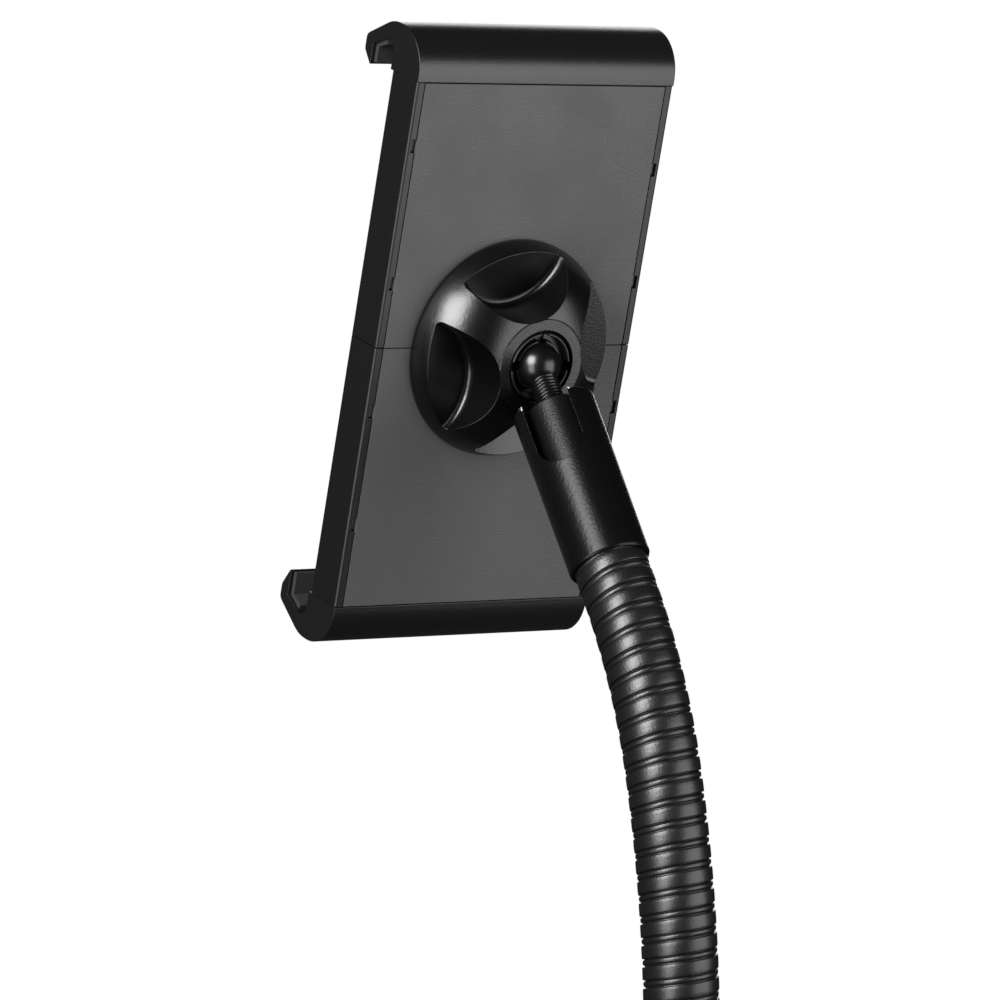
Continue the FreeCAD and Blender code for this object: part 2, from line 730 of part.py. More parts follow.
def screws(side, frame_text):
    """The two hook screws and the two rack screws of one half."""
    parts = []
    for index, hand in enumerate((-1, 1)):
        x = hand * hook_screw_place
        start = (x, wall_start - s.screw_head_depth, -s.hook_screw_drop)
        head = rod(f"{side}_hook_head{index}", start, "y", s.screw_head, s.screw_head_depth)
        start = (x, wall_start - 0.5, -s.hook_screw_drop)
        shank = rod(f"{side}_hook_shank{index}", start, "y", s.screw_radius, s.screw_length)
        parts.append(fuse(f"{side}_hook_screw{index}", [head, shank]))
    for index, height in enumerate(rack_screws()):
        seat = rack_rear - s.screw_head_depth - 0.2
        start = (rack_screw_x, height, seat)
        head = rod(f"{side}_rack_head{index}", start, "z", s.screw_head, s.screw_head_depth)
        foot = floor_level - s.front_wall / 2 + 0.1
        start = (rack_screw_x, height, foot)
        shank = rod(f"{side}_rack_shank{index}", start, "z", s.screw_radius, seat - foot + 0.5)
        parts.append(fuse(f"{side}_rack_screw{index}", [head, shank]))
    return group(f"{side}_screws", parts, frame_text)


def spring(side, frame_text):
    """The tension spring from the carrier's post to the shell's post, as its outer form."""
    level = floor_level + s.post_height - s.spring_radius
    loop = s.post_radius + s.spring_wire + 0.2
    start = s.spring_wire + loop - s.spring_far
    length = s.spring_near + s.spring_far - 2 * (loop + s.spring_wire)
    base = (spring_place, start, level)
    coil = rod(f"{side}_coil", base, "y", s.spring_radius, length)
    hollow = rod(f"{side}_coil_bore", base, "y", s.spring_radius - 2 * s.spring_wire, length)
    parts = [cut(f"{side}_coil_tube", coil, [hollow])]
    for name, along, hand in (("far", -s.spring_far, 1), ("near", s.spring_near, -1)):
        centre = (spring_place, along, level - s.spring_wire)
        ring = rod(f"{side}_eye_{name}", centre, "z", loop + s.spring_wire, 2 * s.spring_wire)
        hole = rod(f"{side}_hole_{name}", centre, "z", loop - s.spring_wire, 2 * s.spring_wire)
        near = along + hand * loop
        far = along + hand * (loop + 3 * s.spring_wire)
        low, high = (near, far) if hand > 0 else (far, near)
        reach = s.spring_radius - s.spring_wire
        tail_low = (spring_place - reach, low, level - s.spring_wire)
        tail_high = (spring_place + reach, high, level + s.spring_wire)
        parts.append(cut(f"{side}_eye_ring_{name}", ring, [hole]))
        parts.append(box(f"{side}_tail_{name}", tail_low, tail_high))
    return fuse(f"{side}_spring", parts, frame_text)


def make_half(side, frame_text):
    return [
        shell(side, frame_text),
        back_panel(side, frame_text),
        hook(side, frame_text),
        hook_pad(side, frame_text),
        face_pad(side, frame_text),
        rack(side, frame_text),
        screws(side, frame_text),
        spring(side, frame_text),
    ]


def boss_screw_places():
    """The four screws on the diagonals of the boss's flange."""
    reach = s.boss_screw_ring * math.sqrt(0.5)
    return [(across * reach, along * reach) for across in (-1, 1) for along in (-1, 1)]


def carrier_frame():
    """The plate that both halves slide on, with windows, ribs and spring posts."""
    half = wall_start - s.carrier_gap
    edge = inner_width - s.slide_play
    window_width = rib_place - s.window_rib - s.window_across
    window_length = half - s.window_end - s.window_along
    low = (-edge, -half, carrier_front)
    parts = [box("carrier_plate", low, (edge, half, carrier_rear))]
    tools = []
    for hand in (-1, 1):
        near = hand * rib_place - s.rib_width / 2
        low = (near, -half, carrier_front - s.rib_depth)
        high = (near + s.rib_width, half, carrier_front)
        parts.append(box(f"carrier_rib{hand + 1}", low, high))
        start = (hand * spring_place, -hand * s.spring_far, floor_level + 1)
        reach = carrier_front - floor_level - 1
        parts.append(rod(f"carrier_post{hand + 1}", start, "z", s.post_radius, reach))
        for end in (-1, 1):
            across = hand * (s.window_across + window_width / 2) - window_width / 2
            along = end * (s.window_along + window_length / 2) - window_length / 2
            low = (across, along, carrier_front - 1)
            high = (across + window_width, along + window_length, carrier_rear + 1)
            tools.append(box(f"carrier_window{hand + 1}{end + 1}", low, high))
    for index, (across, along) in enumerate(boss_screw_places()):
        start = (across, along, carrier_front - 1)
        tools.append(rod(f"carrier_hole{index}", start, "z", screw_hole, BIG))
        sink = s.screw_head_depth + 1
        tools.append(rod(f"carrier_sink{index}", start, "z", head_hole, sink))
    start = (0, 0, carrier_front - 1)
    tools.append(rod("carrier_pin_hole", start, "z", s.pin_radius + 0.02, BIG))
    return cut("carrier_frame", fuse("carrier_blank", parts), tools, HOLDER)


def sync_pinion():
    """The toothed wheel between the racks that keeps the halves opening alike."""
    body = new_body("sync_pinion_wheel")
    sketch = sketch_on(body, "XY_Plane", gear_front)
    root_line = pitch_radius - 1.25 * s.tooth_module
    circle(sketch, root_line)
    circle(sketch, s.pin_radius + s.pin_play)
    pad(body, sketch, s.gear_depth)
    teeth = tooth(body, gear_front, root_line, 1, s.gear_depth)
    count = int(s.pinion_teeth.value)
    round_pattern(body, teeth, (origin_item(body, "Z_Axis"), [""]), 360, count)
    half_tooth = place(0, 0, 0, (0, 0, 1), 180 / s.pinion_teeth)
    body.setExpression("Placement", half_tooth)
    return fuse_one("sync_pinion", body, HOLDER)


def fuse_one(name, body, frame_text):
    """Wrap a body that has a turn of its own, so that the frame places it."""
    item = doc.addObject("Part::Compound", name)
    item.Links = [body]
    return named(item, frame_text)


def pinion_pin():
    top = gear_front - 0.2 - s.pin_head_depth
    return turned(
        "pinion_pin",
        [
            (0, top),
            (s.pin_head, top),
            (s.pin_head, top + s.pin_head_depth),
            (s.pin_radius, top + s.pin_head_depth),
            (s.pin_radius, carrier_rear),
            (0, carrier_rear),
        ],
        HOLDER,
    )


def socket_boss():
    """The threaded boss on the carrier, with the ball's cup in its end."""
    seat = s.ball_radius + s.ball_play
    drop = s.ball_height - s.boss_height
    rear = carrier_rear + s.flange_depth
    blank = turned(
        "socket_boss_blank",
        [
            (0, carrier_rear),
            (s.flange_radius, carrier_rear),
            (s.flange_radius, rear),
            (s.boss_radius, rear),
            (s.boss_radius, s.boss_height),
            (root(seat * seat - drop * drop), s.boss_height, seat, -1),
            (0, s.ball_height - seat),
        ],
    )
    tools = []
    for index, (across, along) in enumerate(boss_screw_places()):
        start = (across, along, carrier_rear - 1)
        tools.append(rod(f"boss_hole{index}", start, "z", screw_hole, s.flange_depth + 2))
    return cut("socket_boss", blank, tools, HOLDER)


def boss_screws():
    parts = []
    for index, (across, along) in enumerate(boss_screw_places()):
        start = (across, along, carrier_front)
        head = rod(f"boss_head{index}", start, "z", s.screw_head, s.screw_head_depth)
        length = s.carrier_depth + s.flange_depth
        shank = rod(f"boss_shank{index}", start, "z", s.screw_radius, length)
        parts.append(fuse(f"boss_screw{index}", [head, shank]))
    return group("boss_screws", parts, HOLDER)


collet_foot = s.boss_height + s.slide_play
collet_peak = s.collet_height
collet_slope = (s.collet_radius - s.collet_top) / (
    collet_peak - s.collet_chamfer - collet_foot - s.collet_base
)


def collet():
    """The slotted ring that the knob's cone closes on the ball."""
    seat = s.ball_radius + s.ball_play
    drop = s.ball_height - collet_foot
    lip_top = s.ball_height + s.lip_rise
    lip_inner = root(seat * seat - s.lip_rise * s.lip_rise)
    blank = turned(
        "collet_blank",
        [
            (root(seat * seat - drop * drop), collet_foot),
            (s.collet_radius, collet_foot),
            (s.collet_radius, collet_foot + s.collet_base),
            (s.collet_top, collet_peak - s.collet_chamfer),
            (s.collet_top - s.collet_chamfer, collet_peak),
            (s.collet_inside, collet_peak),
            (s.collet_inside - 0.4, collet_peak - s.collet_groove),
            (lip_inner + s.lip_width + 0.6, collet_peak - s.collet_groove),
            (lip_inner + s.lip_width, lip_top),
            (lip_inner, lip_top, seat, -1),
        ],
    )
    half = s.collet_slot / 2
    low = collet_foot + s.collet_base + 1
    reach = s.collet_radius + 1
    tools = [
        box("collet_slot_across", (-reach, -half, low), (reach, half, collet_peak + 1)),
        box("collet_slot_along", (-half, -reach, low), (half, reach, collet_peak + 1)),
    ]
    return cut("collet", blank, tools, HOLDER)


def clamp_knob():
    """The domed knob: a turned body with four finger scoops whose floors slope inwards."""
    cone_top = s.knob_height - s.mouth_depth
    cone_foot = collet_foot + s.collet_base
    cone_wide = s.mouth_radius + (cone_top - cone_foot) * collet_slope
    thread = s.boss_radius + s.pin_play
    body = turned(
        "clamp_knob",
        [
            (s.knob_radius, s.knob_gap),
            (s.knob_radius, s.rim_height, s.dome_round, 1),
            (s.face_radius, s.knob_height - s.face_step),
            (s.face_radius - s.face_step, s.knob_height),
            (s.mouth_radius, s.knob_height),
            (s.mouth_radius, cone_top),
            (cone_wide, cone_foot),
            (cone_wide, s.boss_height + 1),
            (thread, s.boss_height + 1),
            (thread, s.knob_gap),
            (s.knob_hub, s.knob_gap),
            (s.knob_hub, s.knob_gap + s.knob_hollow),
            (s.knob_radius - s.knob_wall, s.knob_gap + s.knob_hollow),
            (s.knob_radius - s.knob_wall, s.knob_gap),
        ],
        HOLDER,
    )
    scoop = body.newObject("PartDesign::SubtractiveCone", "scoop")
    scoop.AttachmentSupport = (origin_item(body, "XY_Plane"), [""])
    scoop.MapMode = "FlatFace"
    bind(scoop, "Radius1", s.scoop_radius)
    bind(scoop, "Radius2", s.scoop_radius - s.scoop_draft)
    bind(scoop, "Height", s.knob_height)
    crease_x = s.scoop_crease * cosine(s.scoop_angle)
    crease_y = s.scoop_crease * sine(s.scoop_angle)
    crease = place(crease_x, crease_y, s.scoop_floor, (0, 0, 1), s.scoop_angle)
    slope = place(0, 0, 0, (0, 1, 0), -s.scoop_tilt)
    middle = place(s.scoop_radius, 0, 0, (0, 0, 1), 0)
    scoop.setExpression("AttachmentOffset", f"{crease} * {slope} * {middle}")
    doc.recompute()
    count = int(s.scoop_count.value)
    axis = (origin_item(body, "Z_Axis"), [""])
    pattern = round_pattern(body, scoop, axis, 360, count)
    doc.recompute()
    fillet = body.newObject("PartDesign::Fillet", "scoop_foot")
    fillet.Base = (pattern, scoop_foot_edges(pattern.Shape))
    bind(fillet, "Radius", s.scoop_fillet)
    return body


def scoop_foot_edges(shape):
    """Names of the edges where the scoops' walls meet their floors."""
    names = []
    for index, edge in enumerate(shape.Edges, start=1):
        curve = edge.Curve
        if hasattr(curve, "Radius") and abs(curve.Radius - s.scoop_radius.value) < 1e-3:
            names.append(f"Edge{index}")
    return names


def ball_stud():
    """The ball on its threaded stud."""
    ball = doc.addObject("Part::Sphere", "ball")
    bind(ball, "Radius", s.ball_radius)
    stud = rod("stud", (0, 0, 0), "z", s.stud_radius, s.stud_length)
    return fuse("ball_stud", [ball, stud], STUD)


def stud_core():
    """The core in the sleeve, bored for the stud and with a spigot in the hose."""
    bore = s.stud_radius + s.pin_play
    chamfer = s.sleeve_chamfer
    spigot = s.hose_bore - 0.2
    return turned(
        "stud_core",
        [
            (bore, s.core_start),
            (s.core_radius - chamfer, s.core_start),
            (s.core_radius, s.core_start + chamfer),
            (s.core_radius, s.core_end),
            (spigot, s.core_end),
            (spigot, s.core_end + s.spigot_length),
            (0, s.core_end + s.spigot_length),
            (0, s.stud_length + 2),
            (bore, s.stud_length + 2),
        ],
        STUD,
    )


def sleeve():
    """The tapered sleeve over the core and the hose's end, with a round-ended notch."""
    bore = s.core_radius + s.screw_play
    socket = s.band_radius + s.hose_play
    blank = turned(
        "sleeve_blank",
        [
            (bore, s.sleeve_start),
            (s.sleeve_radius - s.sleeve_chamfer, s.sleeve_start),
            (s.sleeve_radius, s.sleeve_start + s.sleeve_chamfer),
            (s.sleeve_foot, s.sleeve_end - s.sleeve_chamfer),
            (s.sleeve_foot - s.sleeve_chamfer / 2, s.sleeve_end),
            (socket, s.sleeve_end),
            (socket, s.hose_start),
            (bore, s.hose_start),
        ],
    )
    half = s.notch_width / 2
    round_end = s.sleeve_start + s.notch_length - half
    low = (0, -half, s.sleeve_start - 1)
    slot = box("notch_slot", low, (BIG, half, round_end))
    end = rod("notch_end", (0, 0, round_end), "x", half, BIG)
    notch = fuse("notch", [slot, end], place(0, 0, 0, (0, 0, 1), s.notch_angle))
    return cut("sleeve", blank, [notch], STUD)


def base_ferrule():
    """The socket at the foot of the arm: hose above, threaded hole below."""
    socket = s.band_radius + s.hose_play
    edge = s.sleeve_radius - s.sleeve_chamfer
    hose_foot = s.ferrule_length - s.hose_grip
    return turned(
        "base_ferrule",
        [
            (s.socket_radius, 0),
            (edge, 0),
            (s.sleeve_radius, s.sleeve_chamfer),
            (s.sleeve_radius, s.ferrule_length - s.sleeve_chamfer),
            (edge, s.ferrule_length),
            (socket, s.ferrule_length),
            (socket, hose_foot),
            (0, hose_foot),
            (0, s.socket_depth),
            (s.socket_radius, s.socket_depth),
        ],
    )


def span(name, bend, turn, frame_text):
    """A bend of the gooseneck: a pipe with wide bands, all turned about the bend's axis."""
    body = new_body(name, frame_text)
    count = round(math.radians(turn.value) * bend.value / s.band_pitch.value)
    step = turn / count
    pipe = bend_turning(body, bend, s.valley_radius, s.hose_bore, turn)
    middle = (s.hose_bore + s.valley_radius) / 2
    band = bend_turning(body, bend, s.band_radius, middle, step * s.band_share)
    axis = (band.Profile[0], ["Axis0"])
    pattern = round_pattern(body, band, axis, turn - step, count)
    pattern.Reversed = True
    return body


def bend_turning(body, bend, outer, inner, angle):
    """A ring turned about a line parallel to x, at the bend's radius along +y."""
    sketch = sketch_on(body, "XY_Plane")
    circle(sketch, outer)
    circle(sketch, inner)
    ends = [Vector(hand * s.hose_bore.value, bend.value, 0) for hand in (-1, 1)]
    line = sketch.addGeometry(Part.LineSegment(*ends), True)
    for point, hand in ((1, -1), (2, 1)):
        hold(sketch, "DistanceX", -1, 1, line, point, hand * s.hose_bore)
        hold(sketch, "DistanceY", -1, 1, line, point, bend)
    feature = body.newObject("PartDesign::Revolution", f"{body.Name}_turning")
    feature.Profile = sketch
    feature.ReferenceAxis = (sketch, ["Axis0"])
    feature.Reversed = True
    bind(feature, "Angle", angle)
    return feature


def straight(name, outer, start, end, frame_text=None):
    """A straight stretch of the hose along z."""
    inner = s.hose_bore
    corners = [(inner, start), (outer, start), (outer, end), (inner, end)]
    return turned(name, corners, frame_text)


def gooseneck():
    """The banded flexible arm, from the ferrule's socket to the sleeve's."""
    foot = straight("hose_foot", s.valley_radius, s.ferrule_length - s.hose_grip, bend_foot)
    low = span("low_span", s.lower_bend, s.lower_angle, LOW_SPAN)
    high = span("high_span", s.upper_bend, s.upper_angle, HIGH_SPAN)
    head = straight("hose_head", s.band_radius, s.hose_start, s.bend_start, STUD)
    return fuse("gooseneck", [foot, low, high, head])


pieces = [
    *make_half("upper", HOLDER),
    *make_half("lower", TURNED),
    carrier_frame(),
    sync_pinion(),
    pinion_pin(),
    socket_boss(),
    boss_screws(),
    collet(),
    clamp_knob(),
    ball_stud(),
    stud_core(),
    sleeve(),
    gooseneck(),
    base_ferrule(),
]
doc.recompute()

failed = [item.Name for item in doc.Objects if {"Invalid", "Error"} & set(item.State)]
for piece in pieces:
    if piece.Shape.isNull() or not piece.Shape.isValid() or not piece.Shape.Solids:
        failed.append(f"{piece.Label}: no sound shape")
if failed:
    raise RuntimeError("failed objects: " + ", ".join(failed))

os.makedirs("parts", exist_ok=True)
for piece in pieces:
    piece.Shape.exportStep(f"parts/{piece.Label}.step")
print("pieces", len(pieces), "ball at", round(ball_y.value, 3), round(ball_z.value, 3))
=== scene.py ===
# Looks of the tablet holder: materials, the wound gooseneck, threads, spring coils and studio.

import json
import math

import bpy
from mathutils import Matrix, Vector


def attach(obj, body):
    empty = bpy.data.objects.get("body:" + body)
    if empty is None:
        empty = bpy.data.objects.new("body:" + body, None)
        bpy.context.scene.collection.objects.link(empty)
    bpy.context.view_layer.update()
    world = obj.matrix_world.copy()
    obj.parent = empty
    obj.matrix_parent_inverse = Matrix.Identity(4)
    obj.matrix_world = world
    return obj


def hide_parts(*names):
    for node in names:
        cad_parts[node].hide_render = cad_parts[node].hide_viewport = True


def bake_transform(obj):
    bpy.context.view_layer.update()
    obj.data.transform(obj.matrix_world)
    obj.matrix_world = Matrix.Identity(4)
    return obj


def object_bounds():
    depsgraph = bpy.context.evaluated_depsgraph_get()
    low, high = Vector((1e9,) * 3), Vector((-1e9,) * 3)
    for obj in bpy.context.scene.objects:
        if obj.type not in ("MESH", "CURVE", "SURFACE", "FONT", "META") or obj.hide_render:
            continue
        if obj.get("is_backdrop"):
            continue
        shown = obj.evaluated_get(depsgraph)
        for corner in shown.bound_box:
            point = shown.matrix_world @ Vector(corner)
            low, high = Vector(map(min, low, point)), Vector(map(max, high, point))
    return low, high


MM = 0.001

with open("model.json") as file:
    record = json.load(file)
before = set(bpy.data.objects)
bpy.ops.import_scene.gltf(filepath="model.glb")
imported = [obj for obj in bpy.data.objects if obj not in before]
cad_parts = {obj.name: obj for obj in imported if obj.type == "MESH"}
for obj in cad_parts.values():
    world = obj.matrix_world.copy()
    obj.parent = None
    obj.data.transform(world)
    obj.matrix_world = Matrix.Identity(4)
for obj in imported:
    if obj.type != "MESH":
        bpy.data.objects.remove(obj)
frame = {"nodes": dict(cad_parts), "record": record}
cad_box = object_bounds()
nodes = frame["nodes"]

# Places and sizes shared with the model's source, in millimetres and degrees
LOWER_BEND, LOWER_TURN = 390, 13.6
UPPER_BEND, UPPER_TURN = 193, 19.35
HOSE_FOOT, BEND_FOOT = 22, 31
BEND_START, HOSE_START = 88.4, 65
PLATE_TILT = 16.17
BALL_HEIGHT = 21.2
BALL_RADIUS = 8
SLEEVE_START, SLEEVE_WALL_MIDDLE = 17, 13.6
NOTCH_TURN, NOTCH_HALF = 138, 36


def along_arm(distance):
    """Point and lean of the gooseneck's axis at a distance from the hose's foot."""
    lean_low = math.radians(LOWER_TURN)
    lean_high = math.radians(LOWER_TURN + UPPER_TURN)
    y, z, lean = 0, HOSE_FOOT, 0
    run = min(distance, BEND_FOOT - HOSE_FOOT)
    z += run
    distance -= run
    if distance <= 0:
        return Vector((0, y, z)), lean
    lean = min(distance / LOWER_BEND, lean_low)
    y = LOWER_BEND * (1 - math.cos(lean))
    z += LOWER_BEND * math.sin(lean)
    distance -= lean_low * LOWER_BEND
    if distance <= 0:
        return Vector((0, y, z)), lean
    turn = min(distance / UPPER_BEND, lean_high - lean_low)
    lean = lean_low + turn
    y += UPPER_BEND * (math.cos(lean_low) - math.cos(lean))
    z += UPPER_BEND * (math.sin(lean) - math.sin(lean_low))
    distance -= turn * UPPER_BEND
    if distance > 0:
        y += distance * math.sin(lean)
        z += distance * math.cos(lean)
    return Vector((0, y, z)), lean


BENDS = math.radians(LOWER_TURN) * LOWER_BEND + math.radians(UPPER_TURN) * UPPER_BEND
HOSE_LENGTH = BEND_FOOT - HOSE_FOOT + BENDS + BEND_START - HOSE_START
ARM_LEAN = math.radians(LOWER_TURN + UPPER_TURN)
BALL = along_arm(HOSE_LENGTH + HOSE_START)[0]
STUD_FRAME = Matrix.Translation(BALL) @ Matrix.Rotation(math.pi - ARM_LEAN, 4, "X")
HOLDER_TURN = Matrix.Rotation(math.radians(PLATE_TILT + 90), 4, "X")
SEAM = BALL - HOLDER_TURN.to_3x3() @ Vector((0, 0, BALL_HEIGHT))
HOLDER = Matrix.Translation(SEAM) @ HOLDER_TURN
TURNED = HOLDER @ Matrix.Rotation(math.pi, 4, "Z")


# Materials

# Where most of the noise's values lie
NOISE_MIDST = (0.35, 0.65)

# Painted glints, given as flecks of light bare-metal colour where the rim's edges catch the light:
# their size in millimetres, how far a spot lifts the noise, and the lifted noise at a fleck's edge
FLECK_SIZE = 0.9
FLECK_LIFT = 0.62
FLECK_EDGE = (0.94, 0.98)
GLINT_COLOUR = (0.75, 0.75, 0.76)
GLINT_ROUGHNESS, GLINT_METALLIC = 0.55, 0.4


class Surface:
    """A material with one shader, and the nodes that its grain needs."""

    def __init__(self, name, colour, roughness, **sockets):
        self.name = name
        self.material = bpy.data.materials.new(name)
        self.material.use_nodes = True
        self.tree = self.material.node_tree
        self.shader = self.tree.nodes["Principled BSDF"]
        self.shader.inputs["Base Color"].default_value = (*colour, 1)
        self.shader.inputs["Roughness"].default_value = roughness
        self.last_bump = None
        for socket, number in sockets.items():
            self.shader.inputs[socket.replace("_", " ")].default_value = number

    def node(self, kind, **settings):
        node = self.tree.nodes.new(kind)
        for key, setting in settings.items():
            if key in node.inputs:
                node.inputs[key].default_value = setting
            else:
                setattr(node, key, setting)
        return node

    def link(self, output, socket):
        self.tree.links.new(output, socket)

    def math(self, operation, first, second):
        node = self.node("ShaderNodeMath", operation=operation)
        self.link(first, node.inputs[0])
        self.link(second, node.inputs[1])
        return node.outputs[0]

    def noise(self, size, detail=2):
        """Noise of a size in millimetres, in the object's own coordinates."""
        coordinates = self.node("ShaderNodeTexCoord")
        noise = self.node("ShaderNodeTexNoise", Scale=1 / (size * MM), Detail=detail)
        self.link(coordinates.outputs["Object"], noise.inputs["Vector"])
        return noise.outputs["Fac"]

    def rounded(self, radius):
        """Catch the light on sharp edges as if they were rounded, radius in millimetres."""
        bevel = self.node("ShaderNodeBevel", samples=6, Radius=radius * MM)
        self.last_bump = bevel.outputs["Normal"]
        self.link(self.last_bump, self.shader.inputs["Normal"])
        return self

    def grain(self, size, strength, depth=0.05):
        """Fine moulded grain: its size and depth in millimetres."""
        bump = self.node("ShaderNodeBump", Strength=strength, Distance=depth * MM)
        self.link(self.noise(size), bump.inputs["Height"])
        if self.last_bump:
            self.link(self.last_bump, bump.inputs["Normal"])
        self.last_bump = bump.outputs["Normal"]
        self.link(self.last_bump, self.shader.inputs["Normal"])
        return self

    def spread(self, number, low, high, new_low=0, new_high=1):
        """Carry a number from one range over to another, and hold it to that range."""
        spread = self.node("ShaderNodeMapRange")
        ends = {"From Min": low, "From Max": high, "To Min": new_low, "To Max": new_high}
        for name, end in ends.items():
            spread.inputs[name].default_value = end
        self.link(number, spread.inputs["Value"])
        return spread.outputs["Result"]

    def vary(self, socket, size, low, high):
        """Let a socket's number drift between low and high over the surface."""
        drift = self.spread(self.noise(size, 3), *NOISE_MIDST, low, high)
        self.link(drift, self.shader.inputs[socket])
        return self

    def paint_glints(self, spots, reach):
        """Paint glints as flecks of light bare-metal colour round some spots of the object, reach
        in millimetres.
        """
        coordinates = self.node("ShaderNodeTexCoord")
        grit = self.noise(FLECK_SIZE, 3)
        flecks = None
        for spot in spots:
            apart = self.node("ShaderNodeVectorMath", operation="DISTANCE")
            apart.inputs[1].default_value = spot
            self.link(coordinates.outputs["Object"], apart.inputs[0])
            near = self.spread(apart.outputs["Value"], 0, reach * MM, FLECK_LIFT, 0)
            lifted = self.math("ADD", near, grit)
            here = self.spread(lifted, *FLECK_EDGE)
            flecks = self.math("MAXIMUM", flecks, here) if flecks else here
        # Painted glints: the flecks mix a light metal colour into the coat
        colours = self.node("ShaderNodeMix", data_type="RGBA")
        colours.inputs[6].default_value = self.shader.inputs["Base Color"].default_value
        colours.inputs[7].default_value = (*GLINT_COLOUR, 1)
        self.link(flecks, colours.inputs[0])
        self.link(colours.outputs[2], self.shader.inputs["Base Color"])
        for name, glint_setting in (("Roughness", GLINT_ROUGHNESS), ("Metallic", GLINT_METALLIC)):
            socket = self.shader.inputs[name]
            self.link(self.spread(flecks, 0, 1, socket.default_value, glint_setting), socket)
        return self

    def one_sided(self):
        """Show nothing from behind."""
        seen = self.node("ShaderNodeNewGeometry")
        nothing = self.node("ShaderNodeBsdfTransparent")
        mix = self.node("ShaderNodeMixShader")
        self.link(seen.outputs["Backfacing"], mix.inputs[0])
        self.link(self.shader.outputs[0], mix.inputs[1])
        self.link(nothing.outputs[0], mix.inputs[2])
        self.link(mix.outputs[0], self.tree.nodes["Material Output"].inputs["Surface"])
        return self


shell_look = Surface("shell_plastic", (0.002, 0.002, 0.0024), 0.42)
shell_look.rounded(0.35).grain(0.35, 0.25)
panel_look = Surface("panel_plastic", (0.050, 0.051, 0.051), 0.50)
panel_look.rounded(0.15).grain(0.6, 1, 0.14).vary("Roughness", 22, 0.47, 0.58)
hook_look = Surface("hook_plastic", (0.005, 0.005, 0.0054), 0.29)
hook_look.rounded(0.45).grain(0.6, 0.8, 0.08)
knob_look = Surface("knob_plastic", (0.001, 0.001, 0.0011), 0.27)
knob_look.rounded(0.4).grain(0.7, 0.8, 0.06)
frame_look = Surface("frame_plastic", (0.006, 0.006, 0.0065), 0.35)
frame_look.rounded(0.2).grain(0.5, 0.2)
gear_look = Surface("gear_plastic", (0.62, 0.60, 0.54), 0.4)
rubber_look = Surface("rubber", (0.012, 0.012, 0.013), 0.8).grain(0.5, 0.5)
arm_look = Surface("arm_metal", (0.004, 0.004, 0.0044), 0.35)
arm_look.rounded(0.25).grain(0.7, 0.9, 0.09)
ball_look = Surface("ball_metal", (0.002, 0.002, 0.0023), 0.27).grain(1.0, 0.3, 0.04)
steel_look = Surface("steel", (0.56, 0.56, 0.57), 0.3, Metallic=1)
SLOT_LOOKS = {
    look.name: look.material
    for look in (
        shell_look,
        panel_look,
        hook_look,
        knob_look,
        frame_look,
        gear_look,
        rubber_look,
        arm_look,
        ball_look,
        steel_look,
    )
}

# Two pieces of the arm have a coat of their own
sleeve_look = Surface("sleeve_metal", (0.002, 0.002, 0.0023), 0.30, Specular_IOR_Level=0.17)
sleeve_look.rounded(0.25).grain(1.2, 0.8, 0.1)
core_look = Surface("core_metal", (0.003, 0.003, 0.0035), 0.36, Specular_IOR_Level=0.17)
core_look.grain(0.6, 1, 0.14)
NODE_LOOKS = {"sleeve": sleeve_look.material, "stud_core": core_look.material}

node_slots = {entry["node"]: entry["material_slot"] for entry in frame["record"]["subparts"]}
for name, node in nodes.items():
    look = NODE_LOOKS.get(name, SLOT_LOOKS[node_slots[name]])
    if not node.material_slots:
        node.data.materials.append(look)
    for slot in node.material_slots:
        slot.material = look


# Painted glints at the corners where the notch meets the sleeve's rim

GLINT_REACH = 5
to_sleeve = nodes["sleeve"].matrix_world.inverted()
corners = []
for degrees in (NOTCH_TURN - NOTCH_HALF, NOTCH_TURN + NOTCH_HALF):
    turn = math.radians(degrees)
    out = Vector((math.cos(turn), math.sin(turn), 0)) * SLEEVE_WALL_MIDDLE
    corner = STUD_FRAME @ (out + Vector((0, 0, SLEEVE_START)))
    corners.append(to_sleeve @ (corner * MM))
for look in (sleeve_look, core_look):
    look.paint_glints(corners, GLINT_REACH)


# Wound and threaded pieces


def mesh_piece(name, points, faces, slot, body=None, replaced=()):
    """A smooth-shaded mesh from points in millimetres in the row frame."""
    mesh = bpy.data.meshes.new(name)
    mesh.from_pydata([point * MM for point in points], [], faces)
    mesh.validate()
    mesh.shade_smooth()
    piece = bpy.data.objects.new(name, mesh)
    bpy.context.scene.collection.objects.link(piece)
    piece.data.materials.append(SLOT_LOOKS[slot])
    if body:
        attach(piece, body)
    if replaced:
        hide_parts(*replaced)
    return piece


def strip_faces(rows, columns, closed=False):
    """Faces of a grid of points, column by column, with rows joined round when closed."""
    faces = []
    for column in range(columns - 1):
        for row in range(rows if closed else rows - 1):
            after = (row + 1) % rows
            near, far = column * rows, (column + 1) * rows
            faces.append((near + row, far + row, far + after, near + after))
    return faces


def winding(profile, pitch, length, steps, point_at):
    """A profile of (offset, radius) wound right-handed along a length, cut flat at its ends."""
    points = []
    turns = math.ceil(length / pitch) + 1
    for step in range(-steps, turns * steps + 1):
        angle = math.tau * step / steps
        for offset, radius in profile:
            distance = pitch * step / steps + offset
            points.append(point_at(min(max(distance, 0), length), radius, angle))
    return points, strip_faces(len(profile), (turns + 1) * steps + 1)


def hose_point(distance, radius, angle):
    """Point beside the gooseneck's axis, at a radius and an angle about it."""
    centre, lean = along_arm(distance)
    across = Vector((0, math.cos(lean), -math.sin(lean)))
    return centre + Vector((radius * math.cos(angle), 0, 0)) + across * radius * math.sin(angle)


